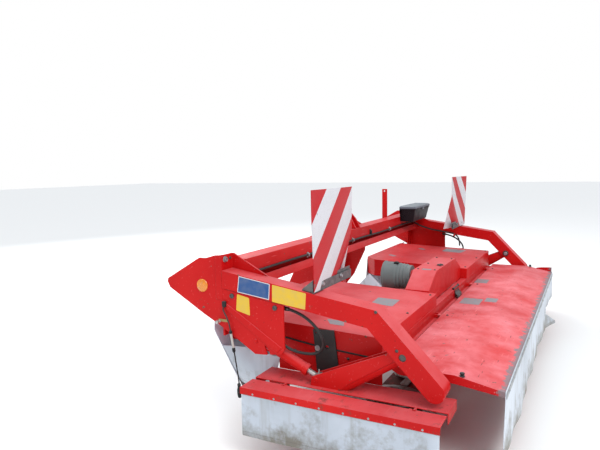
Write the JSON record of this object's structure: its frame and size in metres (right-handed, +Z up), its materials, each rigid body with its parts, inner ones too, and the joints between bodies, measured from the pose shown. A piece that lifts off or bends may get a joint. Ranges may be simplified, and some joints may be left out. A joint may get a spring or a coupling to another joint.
{
  "type": "disc mower for a three-point linkage",
  "caption": "Three-metre disc mower on a suspended frame, with hood, hinged guards, canvas skirts, warning boards and parking legs.",
  "frame": {"origin": "on the ground, under the centre of the machine's box", "axes": "+X across the machine, +Y towards the linkage, +Z up"},
  "size_m": [3.2, 1.568, 1.145],
  "materials": {
    "red_paint": "gloss, weathered",
    "galvanised": "dull zinc",
    "bright_steel": "polished",
    "worn_steel": "worn",
    "board_white": "reflective sheeting",
    "box_plastic": "moulded",
    "rubber": "matte",
    "guard_rubber": "faded",
    "canvas": "coated canvas"
  },
  "bodies": {
    "frame": {"cross_beam": "red_paint", "end_plate_left": "red_paint", "end_plate_right": "red_paint", "arm_left": "red_paint", "arm_right": "red_paint", "pivot_pins": "galvanised", "top_link_tower": "red_paint", "hitch_plates": "red_paint", "shaft_hook": "galvanised", "hose_holder": "red_paint", "warning_boards": "board_white", "board_brackets": "galvanised", "document_box": "box_plastic", "hydraulic_hoses": "rubber", "wiring_cable": "rubber", "pull_cables": "rubber"},
    "box_lid": {"box_lid": "box_plastic"},
    "parking_leg_left": {"parking_leg_left": "galvanised"},
    "parking_leg_right": {"parking_leg_right": "galvanised"},
    "lift_cylinder_left": {"lift_cylinder_left": "red_paint"},
    "lift_cylinder_right": {"lift_cylinder_right": "red_paint"},
    "lift_rod_left": {"lift_rod_left": "bright_steel"},
    "lift_rod_right": {"lift_rod_right": "bright_steel"},
    "cutting_unit": {"cutter_bar": "red_paint", "skid_shoes": "worn_steel", "gearbox": "red_paint", "shaft_guard": "guard_rubber", "carrier_tube": "red_paint", "bar_hangers": "red_paint", "end_decks": "red_paint", "swing_tubes": "red_paint", "rear_hood_left": "red_paint", "rear_hood_right": "red_paint", "centre_cover": "red_paint", "hinge_channel": "red_paint", "rubber_flaps": "rubber", "rear_skirt": "canvas"},
    "input_shaft": {"input_shaft": "bright_steel"},
    "front_guard": {"front_hood": "red_paint", "front_skirt": "canvas"},
    "side_guard_left": {"side_guard_left": "red_paint", "side_skirt_left": "canvas"},
    "side_guard_right": {"side_guard_right": "red_paint", "side_skirt_right": "canvas"},
    "disc_1": {"disc_1": "worn_steel"},
    "disc_2": {"disc_2": "worn_steel"},
    "disc_3": {"disc_3": "worn_steel"},
    "disc_4": {"disc_4": "worn_steel"},
    "disc_5": {"disc_5": "worn_steel"},
    "disc_6": {"disc_6": "worn_steel"},
    "disc_7": {"disc_7": "worn_steel"}
  },
  "joints": [
    {"name": "unit_swing", "type": "hinge", "parent": "frame", "child": "cutting_unit", "pos_m": [0, -0.38012, 0.49848], "axis": [1, 0, 0], "range_deg": [-5, 5]},
    {"name": "front_guard_fold", "type": "hinge", "parent": "cutting_unit", "child": "front_guard", "pos_m": [0, -0.268, 0.405], "axis": [-1, 0, 0], "range_deg": [0, 90]},
    {"name": "side_guard_fold_left", "type": "hinge", "parent": "cutting_unit", "child": "side_guard_left", "pos_m": [-1.49, 0, 0.306], "axis": [0, 1, 0], "range_deg": [0, 90]},
    {"name": "side_guard_fold_right", "type": "hinge", "parent": "cutting_unit", "child": "side_guard_right", "pos_m": [1.49, 0, 0.306], "axis": [0, -1, 0], "range_deg": [0, 90]},
    {"name": "box_lid_open", "type": "hinge", "parent": "frame", "child": "box_lid", "pos_m": [1.115, 0.3987, 0.8933], "axis": [-1, 0, 0], "range_deg": [0, 105]},
    {"name": "leg_slide_left", "type": "slide", "parent": "frame", "child": "parking_leg_left", "axis": [0, 0, 1], "range_m": [0, 0.25]},
    {"name": "lift_cylinder_pivot_left", "type": "hinge", "parent": "frame", "child": "lift_cylinder_left", "pos_m": [-1.422, 0.29, 0.477], "axis": [1, 0, 0], "range_deg": [-6, 6]},
    {"name": "lift_rod_slide_left", "type": "slide", "parent": "lift_cylinder_left", "child": "lift_rod_left", "axis": [0, -0.9066, -0.422], "range_m": [-0.03, 0.03]},
    {"name": "leg_slide_right", "type": "slide", "parent": "frame", "child": "parking_leg_right", "axis": [0, 0, 1], "range_m": [0, 0.25]},
    {"name": "lift_cylinder_pivot_right", "type": "hinge", "parent": "frame", "child": "lift_cylinder_right", "pos_m": [1.422, 0.29, 0.477], "axis": [1, 0, 0], "range_deg": [-6, 6]},
    {"name": "lift_rod_slide_right", "type": "slide", "parent": "lift_cylinder_right", "child": "lift_rod_right", "axis": [0, -0.9066, -0.422], "range_m": [-0.03, 0.03]},
    {"name": "disc_spin_1", "type": "hinge", "parent": "cutting_unit", "child": "disc_1", "pos_m": [-1.26, -0.14, 0.062], "axis": [0, 0, 1], "continuous": true},
    {"name": "disc_spin_2", "type": "hinge", "parent": "cutting_unit", "child": "disc_2", "pos_m": [-0.84, -0.14, 0.062], "axis": [0, 0, 1], "continuous": true},
    {"name": "disc_spin_3", "type": "hinge", "parent": "cutting_unit", "child": "disc_3", "pos_m": [-0.42, -0.14, 0.062], "axis": [0, 0, 1], "continuous": true},
    {"name": "disc_spin_4", "type": "hinge", "parent": "cutting_unit", "child": "disc_4", "pos_m": [0, -0.14, 0.062], "axis": [0, 0, 1], "continuous": true},
    {"name": "disc_spin_5", "type": "hinge", "parent": "cutting_unit", "child": "disc_5", "pos_m": [0.42, -0.14, 0.062], "axis": [0, 0, 1], "continuous": true},
    {"name": "disc_spin_6", "type": "hinge", "parent": "cutting_unit", "child": "disc_6", "pos_m": [0.84, -0.14, 0.062], "axis": [0, 0, 1], "continuous": true},
    {"name": "disc_spin_7", "type": "hinge", "parent": "cutting_unit", "child": "disc_7", "pos_m": [1.26, -0.14, 0.062], "axis": [0, 0, 1], "continuous": true},
    {"name": "input_spin", "type": "hinge", "parent": "cutting_unit", "child": "input_shaft", "pos_m": [0, 0, 0.52], "axis": [0, 1, 0], "continuous": true}
  ],
  "couplings": [
    {"joint": "lift_cylinder_pivot_left", "follows": "unit_swing", "ratio": -0.8744},
    {"joint": "lift_rod_slide_left", "follows": "unit_swing", "m_per_rad": -0.3},
    {"joint": "lift_cylinder_pivot_right", "follows": "unit_swing", "ratio": -0.8744},
    {"joint": "lift_rod_slide_right", "follows": "unit_swing", "m_per_rad": -0.3},
    {"joint": "disc_spin_1", "follows": "disc_spin_4", "ratio": -1},
    {"joint": "disc_spin_2", "follows": "disc_spin_4", "ratio": 1},
    {"joint": "disc_spin_3", "follows": "disc_spin_4", "ratio": -1},
    {"joint": "disc_spin_5", "follows": "disc_spin_4", "ratio": -1},
    {"joint": "disc_spin_6", "follows": "disc_spin_4", "ratio": 1},
    {"joint": "disc_spin_7", "follows": "disc_spin_4", "ratio": -1},
    {"joint": "input_spin", "follows": "disc_spin_4", "ratio": 0.3333}
  ]
}
